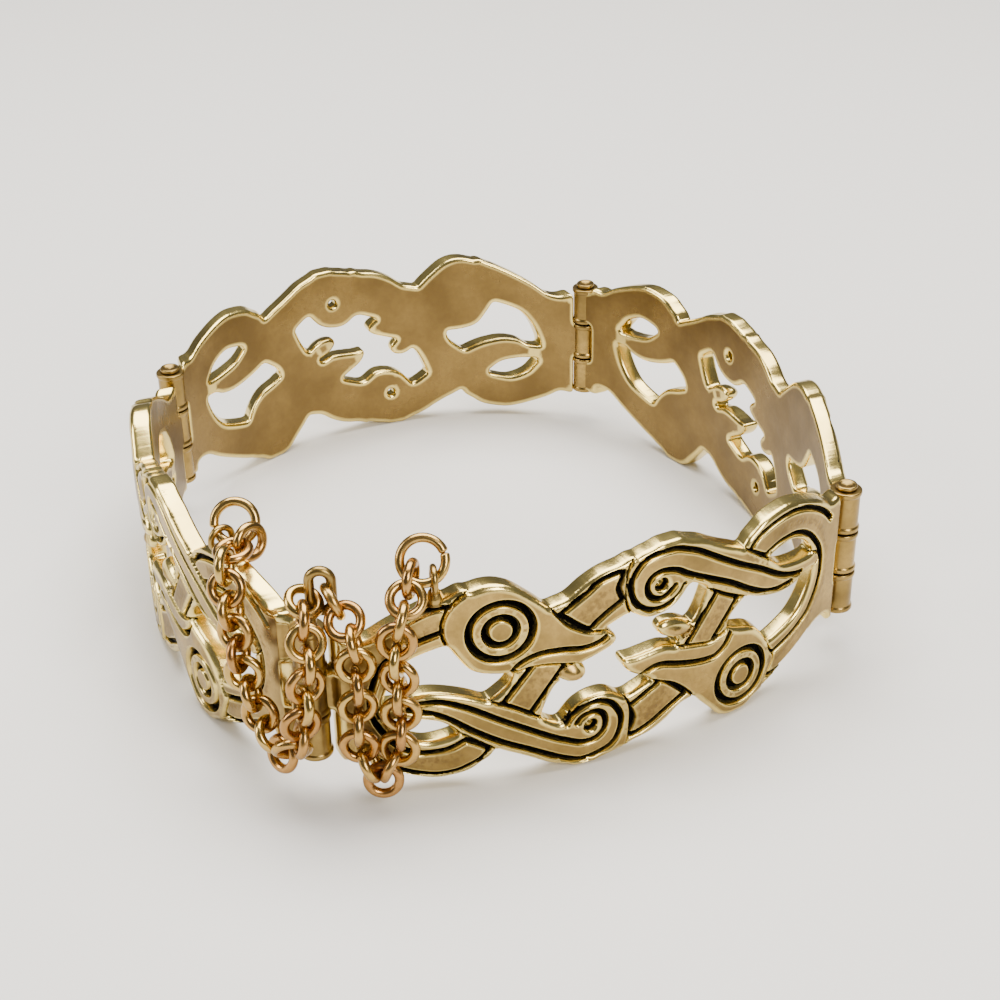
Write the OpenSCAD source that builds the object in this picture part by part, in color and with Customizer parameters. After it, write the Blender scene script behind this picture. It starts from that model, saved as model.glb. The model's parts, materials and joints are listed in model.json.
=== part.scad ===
// Cast arm ring of four pierced, hinged plaques with a clasp pin on two chains.
// Millimetres, +Z up, the ring lies on its side with its lower edge at z = 0.

/* [Plaques] */
// Height of a plaque
plaque_h = 17.8; // [14:0.1:22]
// Length of a plaque along its curve, from hinge axis to hinge axis
hinge_pitch = 46.6; // [38:0.1:56]
// Bend radius of the front right plaque
bend_front_right = 50; // [28:0.5:80]
// Bend radius of the back right plaque
bend_back_right = 50; // [28:0.5:80]
// Bend radius of the back left plaque
bend_back_left = 30.3; // [26:0.1:80]
// Bend radius of the front left plaque
bend_front_left = 44; // [28:0.5:80]
// Angle between the two plaques at the right hinge
corner_angle = 89.3; // [75:0.1:105]
// Turn of the front right plaque from the X axis
front_turn = 23.7; // [10:0.1:35]
// Thickness behind the middle of the wall
back_t = 0.85; // [0.5:0.05:1.5]
// Thickness of the ground in front of the middle of the wall
ground_t = 0.4; // [0.2:0.05:1]
// Height of the raised ribbons over the ground
relief = 0.45; // [0.2:0.05:0.8]
// Extra height of the bird heads
head_rise = 0.15; // [0.05:0.05:0.4]
// Width of a cut groove
groove_w = 0.35; // [0.2:0.05:0.5]
// Hole in the middle of a spiral
spiral_hole = 0.9; // [0.5:0.05:1.2]

/* [Bird eye] */
// Diameter of the pupil
eye_d = 1.85; // [1.2:0.05:2.4]
// Diameter of the groove outside that ring
eye_rim_d = 5.2; // [4.6:0.1:5.6]

/* [Hinges] */
// Height of a whole hinge barrel
barrel_h = 11.1; // [8:0.1:14]
// Diameter of a hinge barrel
barrel_d = 2.3; // [2:0.05:3.2]
// Extra radius of the bead at a knuckle's end
bead_rise = 0.12; // [0.05:0.01:0.2]
// Height of the bead at a knuckle's end
bead_h = 0.45; // [0.2:0.05:0.8]
// Gap between two knuckles
knuckle_gap = 0.15; // [0.1:0.01:0.3]
// Gap between a knuckle and the edge of the other plaque
leaf_gap = 0.25; // [0.15:0.01:0.5]
// Diameter of a hinge pin
pin_d = 1; // [0.8:0.05:1.4]
// Running clearance round a hinge pin
pin_play = 0.05; // [0.02:0.01:0.1]
// Clearance round the clasp pin in the outer knuckles
clasp_play = 0.22; // [0.1:0.01:0.3]
// Diameter of a pin's head
head_d = 1.7; // [1.3:0.05:2.2]
// Height of a pin's head
head_h = 0.35; // [0.2:0.05:0.6]

/* [Clasp pin loop] */
// Width of the loop, outside
loop_w = 2.3; // [2:0.05:3.2]
// Height of the loop, outside
loop_h = 4; // [3.2:0.1:5]
// Wire of the loop
loop_wire = 0.62; // [0.5:0.02:0.8]
// Height of the loop's lower edge over the barrel
loop_lift = 0.9; // [0.7:0.05:2]
// Distance of the loop's near leg from the pin's axis
loop_side = 0.35; // [0:0.05:0.5]

/* [Eyelets and jump rings] */
// Place of an eyelet from the middle of the plaque, in hundredths of half the pitch
eyelet_at = 61; // [55:1:68]
// Outside diameter of an eyelet
eyelet_d = 2.25; // [1.8:0.05:2.6]
// Wire of an eyelet
eyelet_wire = 0.5; // [0.4:0.02:0.6]
// Height of an eyelet's centre over the plaque's middle, in hundredths of half its height
eyelet_up = 101; // [96:1:106]
// Depth of the foot under an eyelet
eyelet_foot = 0.9; // [0.6:0.1:1.2]
// Diameter of the foot under an eyelet
eyelet_foot_d = 1.2; // [1:0.05:1.6]
// Outside diameter of a jump ring
jump_d = 3.6; // [3:0.05:4.2]
// Wire of a jump ring
jump_wire = 0.46; // [0.4:0.02:0.6]
// Opening between the ends of a jump ring
jump_gap = 12; // [4:1:20]

/* [Chains] */
// Outside diameter of a chain link
link_d = 2.8; // [2.6:0.05:3.1]
// Wire of a chain link
link_wire = 0.38; // [0.34:0.02:0.5]
// Steps from link to link on the way down, from the jump ring to the turn
links_down = 11; // [9:1:12]
// Steps from link to link on the way up, from the turn to the loop
links_up = 9; // [8:1:10]

/* [Hidden] */
$fn = 64;

half_pitch = hinge_pitch / 2;
half_h = plaque_h / 2;
bronze = [0.72, 0.6, 0.36];
copper = [0.75, 0.52, 0.3];

// Chord of a plaque: the straight distance between its hinge axes.
function chord(r) = 2 * r * sin(half_pitch / r * 180 / PI);
function polar(a, r) = [r * cos(a), r * sin(a)];
function heading(p, q) = atan2(q.y - p.y, q.x - p.x);

// Corners of the ring: the clasp first, then right, back and left.
chord_fr = chord(bend_front_right);
chord_br = chord(bend_back_right);
chord_bl = chord(bend_back_left);
chord_fl = chord(bend_front_left);
clasp_0 = [0, 0];
right_0 = polar(front_turn, chord_fr);
back_0 = right_0 + polar(front_turn + 180 - corner_angle, chord_br);
diagonal = norm(back_0 - clasp_0);
diagonal_turn = heading(clasp_0, back_0);
left_angle = acos((pow(diagonal, 2) + pow(chord_fl, 2) - pow(chord_bl, 2)) / (2 * diagonal * chord_fl));
left_0 = polar(diagonal_turn + left_angle, chord_fl);

// Bend centres, and the farthest the plaques reach on each side.
function bend_centre(p, q, r) = (p + q) / 2
    + polar(heading(p, q) + 90, sqrt(r * r - pow(norm(q - p) / 2, 2)));
// The chains hang a little in front of the clasp.
top_t = ground_t + relief;
chain_front = 4.8;
x_low = bend_centre(left_0, clasp_0, bend_front_left).x - bend_front_left - top_t;
x_high = right_0.x + barrel_d / 2 + bead_rise;
y_low = clasp_0.y - chain_front;
y_high = bend_centre(back_0, left_0, bend_back_left).y + bend_back_left + top_t + head_rise;
middle = [(x_low + x_high) / 2, (y_low + y_high) / 2];
clasp_xy = clasp_0 - middle;
right_xy = right_0 - middle;
back_xy = back_0 - middle;
left_xy = left_0 - middle;

// Outlines of the cast pattern, for the right half of a plaque.
// Each point is [along, up], in hundredths of half the pitch and half the height.
ribbon_edge = [[-1, 65], [0, 86], [4, 94], [9, 98], [13, 101], [17, 101], [21, 97], [27, 91], [32, 83],
    [37, 76], [42, 70], [49, 57], [57, 42], [62, 33], [69, 28], [74, 27], [80, 26], [81, 18], [78, 12],
    [74, 11], [70, 6], [64, 4], [58, 6], [51, 11], [44, 20], [37, 30], [30, 42], [23, 53], [21, 48],
    [18, 39], [14, 34], [10, 31], [6, 33], [2, 39], [0, 46], [-1, 55]];
loop_edge = [[45, 71], [49, 79], [53, 85], [58, 89], [64, 90], [70, 87], [76, 81], [82, 74], [87, 66],
    [95, 62], [95, 0], [95, -52], [87, -50], [82, -53], [77, -62], [71, -71], [64, -80], [58, -87], [51, -90],
    [51, -45], [58, -42], [64, -37], [70, -30], [74, -20], [77, -7], [79, 10], [79, 25], [76, 35],
    [73, 44], [68, 51], [64, 52], [58, 48], [53, 44], [45, 56]];
strap_edge = [[31, 46], [27, 25], [24, 11], [19, -2], [18, -13], [38, -16], [38, -7], [40, 4], [45, 16],
    [48, 23], [38, 40]];
under_edge = [[-3, -45], [1, -41], [5, -36], [9, -33], [16, -33], [28, -58], [25, -65], [20, -69],
    [15, -79], [9, -86], [3, -90], [-3, -91]];
right_head_edge = [[-2, -3], [2, -3], [6, -2], [13, -1], [19, -7], [26, -11], [31, -13], [36, -10],
    [39, -7], [43, -11], [48, -16], [52, -22], [56, -35], [58, -49], [60, -60], [58, -73], [56, -85],
    [51, -94], [47, -100], [43, -101], [37, -97], [33, -87], [28, -72], [23, -56], [17, -42], [11, -34],
    [5, -25], [0, -16]];
left_head_edge = [[4, -21], [6, -15], [11, -9], [16, -6], [21, -8], [28, -11], [34, -11], [40, -8],
    [47, -10], [52, -16], [55, -26], [58, -38], [60, -51], [60, -65], [57, -80], [51, -91], [44, -94],
    [38, -90], [33, -80], [28, -67], [25, -57], [21, -45], [15, -35], [10, -32], [6, -28]];

// Centre lines of the grooves, in the same hundredths.
ribbon_outer = [[72, 18], [68, 20], [64, 23], [60, 29], [54, 39], [47, 51], [41, 60], [34, 70], [27, 81],
    [21, 88], [17, 92], [13, 93], [9, 90], [5, 86], [3, 78], [2, 68], [2, 59], [3, 50], [6, 42], [11, 38],
    [15, 39], [18, 43], [20, 50]];
ribbon_inner = [[68, 10], [64, 10], [60, 12], [56, 15], [51, 20], [46, 29], [41, 38], [34, 48], [28, 58],
    [22, 65], [18, 72], [14, 76], [11, 74], [8, 71], [7, 65], [7, 58], [8, 51], [11, 47], [14, 47],
    [16, 51], [18, 56]];
loop_outer = [[46, 67], [49, 73], [53, 78], [57, 82], [61, 84], [65, 84], [69, 83], [73, 80], [77, 75],
    [81, 68], [85, 61], [87, 54]];
loop_lower = [[57, -78], [61, -78], [64, -76], [69, -71], [73, -65], [79, -56]];
loop_inner = [[53, 53], [57, 57], [61, 61], [65, 62], [69, 60], [72, 57], [75, 52], [78, 45], [80, 37],
    [82, 29], [83, 19], [83, 10], [83, 0], [82, -11], [80, -22], [77, -32], [73, -41], [69, -47],
    [64, -52], [60, -55]];
strap_left = [[33, 35], [22, -6]];
strap_right = [[42, 20], [32, -11]];
strap_top = [[32, 34], [42, 20]];
under_top = [[1, -53], [5, -46], [10, -39], [14, -36], [21, -54]];
under_low = [[23, -57], [18, -61], [13, -71], [8, -79], [1, -85], [3, -70], [1, -53]];
right_mouth = [[5, -23], [8, -19], [12, -17], [17, -21], [24, -26], [30, -29], [34, -27], [37, -20],
    [39, -13]];
left_mouth = [[8, -27], [11, -22], [15, -21], [21, -22], [28, -24], [33, -21], [37, -16], [39, -11]];
right_eye = [44.5, -60.5];
left_eye = [42.5, -51];
spiral_eye = [12, 61];
lobe_at = [18, 10];
lobe_turn = -25;
lobe_long = 1.5;
lobe_wide = 0.85;

// A smooth curve through the points, closed or open, in n steps a span.
function wrap(p, i, closed) = let (n = len(p)) closed ? p[(i + n) % n] : p[min(max(i, 0), n - 1)];
function span(a, b, c, d, t) = 0.5 * (2 * b + (c - a) * t + (2 * a - 5 * b + 4 * c - d) * t * t
    + (3 * b - a - 3 * c + d) * t * t * t);
function smooth(p, closed, n) = concat([for (i = [0 : len(p) - (closed ? 1 : 2)], k = [0 : n - 1])
    span(wrap(p, i - 1, closed), wrap(p, i, closed), wrap(p, i + 1, closed), wrap(p, i + 2, closed), k / n)],
    closed ? [] : [p[len(p) - 1]]);

// From hundredths to millimetres on the flat of a plaque bent to radius r.
function flat(p, r) = [r * sin(p.x * half_pitch / 100 / r * 180 / PI), p.y * half_h / 100];
function flat_all(p, r) = [for (q = p) flat(q, r)];

// The outline of a stroke of width w along a line of points.
function side(p, i) = let (d = wrap(p, i + 1, false) - wrap(p, i - 1, false)) [-d.y, d.x] / norm(d);
function stroke(p, w) = concat([for (i = [0 : len(p) - 1]) p[i] + side(p, i) * w / 2],
    [for (i = [len(p) - 1 : -1 : 0]) p[i] - side(p, i) * w / 2]);

module area(p, r) {
    polygon(flat_all(smooth(p, true, 2), r));
}

module groove(p, r) {
    polygon(stroke(flat_all(p, r), groove_w));
}

module eye_groove(at, r, d_out, d_in) {
    translate(flat(at, r)) difference() {
        circle(d = d_out, $fn = 28);
        circle(d = d_in, $fn = 28);
    }
}

module lobe(r) {
    translate(flat(lobe_at, r)) rotate(lobe_turn) scale([lobe_long, lobe_wide]) circle(r = 1, $fn = 20);
}

// Everything of a half under the bird head.
module half_ground(r) {
    area(ribbon_edge, r);
    area(loop_edge, r);
    area(strap_edge, r);
    area(under_edge, r);
    lobe(r);
}

// Raised parts of a half, each cut by its own grooves and parted from what lies over it.
module half_raised(r) {
    difference() {
        area(ribbon_edge, r);
        groove(ribbon_outer, r);
        groove(ribbon_inner, r);
    }
    difference() {
        union() {
            area(loop_edge, r);
            area(strap_edge, r);
            area(under_edge, r);
        }
        groove(loop_outer, r);
        groove(loop_lower, r);
        groove(loop_inner, r);
        groove(strap_left, r);
        groove(strap_right, r);
        groove(strap_top, r);
        groove(under_top, r);
        groove(under_low, r);
        offset(delta = groove_w * 0.7) area(ribbon_edge, r);
        rotate(180) offset(delta = groove_w * 0.7) area(ribbon_edge, r);
    }
    lobe(r);
}

module head_raised(edge, mouth, eye, r) {
    difference() {
        area(edge, r);
        groove(mouth, r);
        eye_groove(eye, r, eye_d + 2 * groove_w, eye_d);
        eye_groove(eye, r, eye_rim_d, eye_rim_d - 2 * groove_w);
    }
}

module both_heads(r) {
    area(right_head_edge, r);
    rotate(180) area(left_head_edge, r);
}

module holes(r) {
    translate(flat(spiral_eye, r)) circle(d = spiral_hole, $fn = 24);
    translate(-flat(spiral_eye, r)) circle(d = spiral_hole, $fn = 24);
}

// Keeps what lies between the lower and the upper edge of a plaque.
module within(margin) {
    intersection() {
        children();
        square([hinge_pitch, plaque_h - 2 * margin], center = true);
    }
}

// The whole outline of a plaque, and its raised parts, parted by a hair so that no faces coincide.
seam = 0.01;
module silhouette(r) {
    offset(delta = seam) difference() {
        within(seam) union() {
            half_ground(r);
            rotate(180) half_ground(r);
            both_heads(r);
        }
        holes(r);
    }
}

module raised(r) {
    offset(delta = -seam) difference() {
        within(0) union() {
            half_raised(r);
            rotate(180) half_raised(r);
        }
        offset(delta = groove_w * 0.6) both_heads(r);
        holes(r);
    }
}

module raised_heads(r) {
    offset(delta = -seam) within(0) union() {
        head_raised(right_head_edge, right_mouth, right_eye, r);
        rotate(180) head_raised(left_head_edge, left_mouth, left_eye, r);
    }
}

// A part of the wall from radius a to radius b, with the outline of its child.
module wall(r, a, b) {
    intersection() {
        translate([0, 0, half_h]) rotate([90, 0, 0]) linear_extrude(r + 2) children();
        difference() {
            cylinder(r = b, h = plaque_h * 2, $fn = 180);
            translate([0, 0, -1]) cylinder(r = a, h = plaque_h * 2 + 2, $fn = 180);
        }
    }
}

// A knuckle from height low to height high round the hinge axis at x, y.
module knuckle(low, high) {
    translate([0, 0, low]) cylinder(d = barrel_d, h = high - low);
    translate([0, 0, low]) cylinder(d = barrel_d + 2 * bead_rise, h = bead_h);
    translate([0, 0, high - bead_h]) cylinder(d = barrel_d + 2 * bead_rise, h = bead_h);
}

third = barrel_h / 3;
low_1 = half_h - barrel_h / 2;
low_2 = low_1 + third;
low_3 = low_2 + third;
low_4 = low_3 + third;
half_gap = knuckle_gap / 2;
barrel_room = barrel_d / 2 + bead_rise + leaf_gap;

// A tab that joins a knuckle to the wall.
module tab(r, s, low, high) {
    x_in = r * sin(0.9 * half_pitch / r * 180 / PI);
    x_out = r * sin(half_pitch / r * 180 / PI);
    wall(r, r - back_t, r + ground_t)
        translate([s > 0 ? x_in : -x_out, low - half_h]) square([x_out - x_in, high - low]);
}

// One casting, bent round the origin with its face to -Y.
// The middle knuckle is at the -X end, the outer two at the +X end.
module plaque(r, outer_bore) {
    half_turn = half_pitch / r * 180 / PI;
    hinge_x = r * sin(half_turn);
    hinge_y = -r * cos(half_turn);
    difference() {
        union() {
            difference() {
                union() {
                    wall(r, r - back_t, r + ground_t) silhouette(r);
                    wall(r, r + ground_t - 0.2, r + top_t) raised(r);
                    wall(r, r + ground_t - 0.2, r + top_t + head_rise) raised_heads(r);
                }
                for (s = [-1, 1])
                    translate([s * hinge_x, hinge_y, -1]) cylinder(r = barrel_room, h = plaque_h + 2);
            }
            tab(r, -1, low_2 + half_gap, low_3 - half_gap);
            tab(r, 1, low_1, low_2 - half_gap);
            tab(r, 1, low_3 + half_gap, low_4);
            translate([-hinge_x, hinge_y, 0]) knuckle(low_2 + half_gap, low_3 - half_gap);
            translate([hinge_x, hinge_y, 0]) knuckle(low_1, low_2 - half_gap);
            translate([hinge_x, hinge_y, 0]) knuckle(low_3 + half_gap, low_4);
        }
        translate([-hinge_x, hinge_y, -1]) cylinder(d = pin_d + 2 * pin_play, h = plaque_h + 2);
        translate([hinge_x, hinge_y, -1]) cylinder(d = outer_bore, h = plaque_h + 2);
    }
}

// Puts a plaque between two hinge axes.
module placed(p, q, r) {
    c = bend_centre(p, q, r);
    translate([c.x, c.y, 0]) rotate(heading(p, q)) children();
}

module ring(d, wire, n = 64, m = 32) {
    rotate_extrude($fn = n) translate([(d - wire) / 2, 0]) circle(d = wire, $fn = m);
}

// The eyelet on the upper edge, its hole along the wall.
eyelet_z = half_h + eyelet_up * half_h / 100;
module eyelet(r, s) {
    turn = s * eyelet_at * half_pitch / 100 / r * 180 / PI;
    rotate(turn) translate([0, -r, eyelet_z]) {
        rotate([0, 90, 0]) ring(eyelet_d, eyelet_wire);
        translate([0, 0, -eyelet_d / 2 - eyelet_foot + eyelet_wire])
            cylinder(d = eyelet_foot_d, h = eyelet_foot);
    }
}

bore_d = pin_d + 2 * pin_play;
clasp_bore = pin_d + 2 * clasp_play;

module plaque_front_right() {
    color(bronze) placed(clasp_xy, right_xy, bend_front_right) {
        plaque(bend_front_right, bore_d);
        eyelet(bend_front_right, -1);
    }
}

module plaque_back_right() {
    color(bronze) placed(right_xy, back_xy, bend_back_right) plaque(bend_back_right, bore_d);
}

module plaque_back_left() {
    color(bronze) placed(back_xy, left_xy, bend_back_left) plaque(bend_back_left, bore_d);
}

module plaque_front_left() {
    color(bronze) placed(left_xy, clasp_xy, bend_front_left) {
        plaque(bend_front_left, clasp_bore);
        eyelet(bend_front_left, 1);
    }
}

// A hinge pin with a small head that stands just clear of the top knuckle.
module hinge_pin(p) {
    color(bronze) translate([p.x, p.y, low_1]) {
        cylinder(d = pin_d, h = barrel_h + pin_play + head_h);
        translate([0, 0, barrel_h + pin_play]) cylinder(d = head_d, h = head_h);
    }
}

module hinge_pin_right() {
    hinge_pin(right_xy);
}

module hinge_pin_back() {
    hinge_pin(back_xy);
}

module hinge_pin_left() {
    hinge_pin(left_xy);
}

// The clasp pin: its wire goes up, over and back to itself as a long loop.
loop_c = (loop_w - loop_wire) / 2;
loop_low = low_4 + loop_lift + loop_w / 2;
loop_high = low_4 + loop_lift + loop_h - loop_w / 2;
module half_ring_up(d, wire) {
    rotate([90, 0, 0]) rotate_extrude(angle = 180) translate([(d - wire) / 2, 0]) circle(d = wire, $fn = 32);
}

module clasp_pin() {
    color(bronze) translate([clasp_xy.x, clasp_xy.y, 0]) {
        translate([0, 0, low_1]) cylinder(d = pin_d, h = barrel_h + 0.5);
        translate([loop_side, 0, low_4 + 0.3]) cylinder(d = loop_wire, h = loop_high - low_4 - 0.3);
        translate([loop_side + 2 * loop_c, 0, loop_low]) cylinder(d = loop_wire, h = loop_high - loop_low);
        translate([loop_side + loop_c, 0, loop_high]) half_ring_up(loop_w, loop_wire);
        translate([loop_side + loop_c, 0, loop_low]) rotate([180, 0, 0]) half_ring_up(loop_w, loop_wire);
    }
}

// An open jump ring that faces the front and leans back, with its centre at c.
ring_tilt = 60;
module jump_ring(c, gap_at) {
    color(copper) translate(c) rotate([ring_tilt, 0, 0]) rotate(gap_at) rotate_extrude(angle = 360 - jump_gap)
        translate([(jump_d - jump_wire) / 2, 0]) circle(d = jump_wire, $fn = 32);
}

// Where an eyelet's hole is in space.
function on_wall(p, q, r, turn) = bend_centre(p, q, r) + polar(heading(p, q) - 90 + turn, r);
eyelet_turn_fr = -eyelet_at * half_pitch / 100 / bend_front_right * 180 / PI;
eyelet_turn_fl = eyelet_at * half_pitch / 100 / bend_front_left * 180 / PI;
eyelet_fr = on_wall(clasp_xy, right_xy, bend_front_right, eyelet_turn_fr);
eyelet_fl = on_wall(left_xy, clasp_xy, bend_front_left, eyelet_turn_fl);
// How far a jump ring's centre is from the centre of its eyelet.
jump_off_right = [-0.75, 0.5, 1.25];
jump_off_left = [1, 0.6, 1];

module jump_ring_left() {
    jump_ring([eyelet_fl.x, eyelet_fl.y, eyelet_z] + jump_off_left, 200);
}

module jump_ring_right() {
    jump_ring([eyelet_fr.x, eyelet_fr.y, eyelet_z] + jump_off_right, 25);
}

// Routes of the two chains, from the clasp's axis, with the height over the barrel's foot.
// Each goes down from its jump ring to the turn, and up from there to the clasp pin's loop.
left_route = [
    [[-4.25, 5.5, 14.75], [-5.5, 4, 14.75], [-5.75, 2.25, 14], [-5.25, 1, 10.5],
        [-5, 0.5, 8], [-4.5, 0.25, 5.75], [-3.75, -0.5, 3.75], [-2.25, -1.75, 1.25]],
    [[-2.25, -1.75, 1.25], [-1.25, -2.75, 2.5], [-0.5, -3.25, 4], [-0.5, -3.5, 5.5],
        [0, -3.25, 8], [0.25, -2.75, 10.75], [0, -2, 12.5], [0, -0.25, 13.25]]];
right_route = [
    [[7.5, -0.25, 15], [7, -2, 13.5], [6.5, -2.75, 12], [6.5, -2.75, 9.75],
        [6.5, -2.75, 7.25], [6.5, -2.75, 4.5], [6.25, -2.75, 2.25], [5, -2.75, -0.5]],
    [[5, -2.75, -0.5], [3.5, -2.75, 2.25], [3.5, -2.75, 4.5], [3.5, -2.75, 7],
        [3.5, -2.75, 9], [3.5, -2.5, 11.5], [2, -0.25, 13.25]]];
// Direction that the flat side of the link at a chain's turn faces, seen from above.
turn_faces = [-1, 1.75, 0];

// Points at even steps along a route.
function lengths(p, i = 0, s = 0) = i == len(p) - 1 ? [s]
    : concat([s], lengths(p, i + 1, s + norm(p[i + 1] - p[i])));
function place(p, l, s, i = 0) = i >= len(p) - 2 || s < l[i + 1]
    ? p[i] + (p[i + 1] - p[i]) * (s - l[i]) / (l[i + 1] - l[i]) : place(p, l, s, i + 1);
function even(p, steps) = let (l = lengths(p), end = l[len(l) - 1])
    [for (i = [0 : steps]) place(p, l, i * end / steps)];

// Each link is square to the one before it: the directions across the links, one after the other.
function unit(v) = v / norm(v);
function square_to(dirs, across, i, step) = i < 0 || i >= len(dirs) ? []
    : let (next = unit(cross(dirs[i], across))) concat([next], square_to(dirs, next, i + step, step));

module link(c, dir, across) {
    up = cross(dir, across);
    multmatrix([
        [dir.x, across.x, up.x, c.x],
        [dir.y, across.y, up.y, c.y],
        [dir.z, across.z, up.z, c.z]
    ])
        ring(link_d, link_wire, 12, 6);
}

module chain(route) {
    rising = even(smooth(route[1], false, 6), links_up);
    spots = concat(even(smooth(route[0], false, 6), links_down), [for (i = [1 : links_up]) rising[i]]);
    last = len(spots) - 1;
    dirs = [for (i = [0 : last]) unit(spots[min(i + 1, last)] - spots[max(i - 1, 0)])];
    first = unit(cross(turn_faces, dirs[links_down]));
    before = square_to(dirs, first, links_down - 1, -1);
    after = square_to(dirs, first, links_down + 1, 1);
    color(copper) translate([clasp_xy.x, clasp_xy.y, low_1]) {
        link(spots[links_down], dirs[links_down], first);
        for (i = [0 : links_down - 1]) link(spots[i], dirs[i], before[links_down - 1 - i]);
        for (i = [0 : links_up - 1]) {
            n = links_down + 1 + i;
            link(spots[n], dirs[n], after[i]);
        }
    }
}

module chain_left() {
    chain(left_route);
}

module chain_right() {
    chain(right_route);
}

plaque_front_right();
plaque_back_right();
plaque_back_left();
plaque_front_left();
hinge_pin_right();
hinge_pin_back();
hinge_pin_left();
clasp_pin();
jump_ring_left();
jump_ring_right();
chain_left();
chain_right();
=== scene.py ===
import json
import math

import bpy
import numpy as np
from mathutils import Matrix, Vector
from mathutils.geometry import delaunay_2d_cdt


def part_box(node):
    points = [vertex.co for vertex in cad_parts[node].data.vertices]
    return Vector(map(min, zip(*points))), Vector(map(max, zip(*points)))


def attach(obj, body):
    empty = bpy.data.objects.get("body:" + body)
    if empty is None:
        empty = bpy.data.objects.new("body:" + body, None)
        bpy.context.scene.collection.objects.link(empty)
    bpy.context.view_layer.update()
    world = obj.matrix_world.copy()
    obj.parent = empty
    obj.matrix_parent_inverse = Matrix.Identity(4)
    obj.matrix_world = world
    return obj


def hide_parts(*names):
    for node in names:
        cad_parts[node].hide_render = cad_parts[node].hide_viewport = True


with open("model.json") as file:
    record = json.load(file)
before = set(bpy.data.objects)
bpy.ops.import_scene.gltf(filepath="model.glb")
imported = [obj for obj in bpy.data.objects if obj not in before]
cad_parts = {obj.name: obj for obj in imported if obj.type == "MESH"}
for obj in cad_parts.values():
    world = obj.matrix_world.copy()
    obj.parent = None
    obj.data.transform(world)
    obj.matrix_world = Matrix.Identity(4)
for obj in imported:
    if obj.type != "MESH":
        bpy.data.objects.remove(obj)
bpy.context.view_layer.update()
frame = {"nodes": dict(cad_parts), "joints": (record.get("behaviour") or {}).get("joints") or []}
MM = 0.001

# The plaques: millimetres, heights over the middle of the wall, bends as radii.
PLAQUE_H = 17.8
HINGE_PITCH = 46.6
BENDS = {"front_right": 50.0, "back_right": 50.0, "back_left": 30.3, "front_left": 44.0}
BACK_T = 0.85
GROUND_T = 0.34
TOP_LOW = 0.78
TOP_RIBBON = 0.86
TOP_HEAD = 0.9
TOP_LEAF = 0.25
HEAD_DOME = 0.14
BALL_RISE = 0.1
BALL_REACH = 0.36
LOBE_FOOT = 0.15
LOBE_RISE = 0.8
GROOVE_W = 0.36
SPIRAL_HOLE_R = 0.42
# Width of the dark sink round a spiral's hole
HOLE_SINK = 0.1
# Space left beside a raised layer
CREASE = 0.08
# Rounding of grooves, of the outline's corners, and of the rim at the front and at the back
EDGE_ROUND = 0.2
CORNER_ROUND = 0.2
RIM_ROUND = 0.48
BACK_ROUND = 0.32
# Where a layer ends this near the outline, only the rim is rounded
FREE_EDGE = (0.28, 0.1)

# Distances at which the triangles follow a groove, the outline, the back and a plaque's ends
EDGE_LINES = (-0.07, 0, 0.025, 0.09, 0.2)
OUTLINE_LINES = (0.05, 0.17, 0.34, 0.5)
BACK_LINES = (0.04, 0.14, 0.34)
END_LINES = (0.32, 0.2, 0.075, -0.05, -0.3)
FACE_SPACING = 0.34
BACK_SPACING = 0.6
# Smallest share of a grid step that a line keeps from the grid's points
NUDGE = 0.12

# The hinges, rings and links; wires and pins by their radius
BARREL_H = 11.1
BARREL_R = 1.15
BEAD_RISE = 0.12
KNUCKLE_GAP = 0.15
BARREL_ROOM = 1.6
PIN_R = 0.5
BORE_R = 0.55
CLASP_BORE_R = 0.72
EYELET_AT = 0.61
EYELET_R = 0.875
EYELET_WIRE = 0.25
LOOP_WIRE = 0.37
# Distance of the loop's near leg from the clasp's axis, and its height over the barrel
LOOP_SIDE = 0.41
LOOP_LIFT = 0.9
LINK_R = 1.15
CHAIN_WIRE = 0.365
JUMP_WIRE = 0.35
JUMP_R = {"left": 1.86, "right": 1.95}
# Half the opening of a jump ring, and the sway of the links, in degrees
JUMP_OPENING = 7
LINK_SWAY = 9

# Colours of the metal's dark film, its plain inside and the black in its grooves
FILM = (0.13, 0.08, 0.035)
INSIDE = (0.13, 0.08, 0.03)
BLACK = (0.008, 0.007, 0.006)
# Scales of the metal's noises, per metre
CLOUDS = 170
WAVES = 420
SPECKS = 2300
PITS = 2600

HALF = HINGE_PITCH / 2
HALF_H = PLAQUE_H / 2
BARREL_LOW = HALF_H - BARREL_H / 2

# Outlines of one half of the pattern, in millimetres along and up from the middle.
# The other half is the same, turned by 180 degrees, with its own bird head.
RIBBON_EDGE = [(-0.2, 5.8), (0, 7.7), (0.9, 8.4), (2.1, 8.7), (3, 9), (4, 9), (4.9, 8.6), (6.3, 8.1), (7.5, 7.4),
    (8.6, 6.8), (9.8, 6.2), (11.4, 5.1), (13.3, 3.7), (14.4, 2.9), (16.1, 2.5), (17.2, 2.4), (18.6, 2.3),
    (18.9, 1.6), (18.2, 1.1), (17.2, 1), (16.3, 0.5), (14.9, 0.3), (13.5, 0.5), (11.9, 1), (10.3, 1.8),
    (8.6, 2.7), (7, 3.7), (5.4, 4.7), (4.9, 4.3), (4.2, 3.5), (3.3, 3), (2.3, 2.8), (1.4, 2.9), (0.5, 3.5),
    (0, 4.1), (-0.2, 4.9)]
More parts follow.
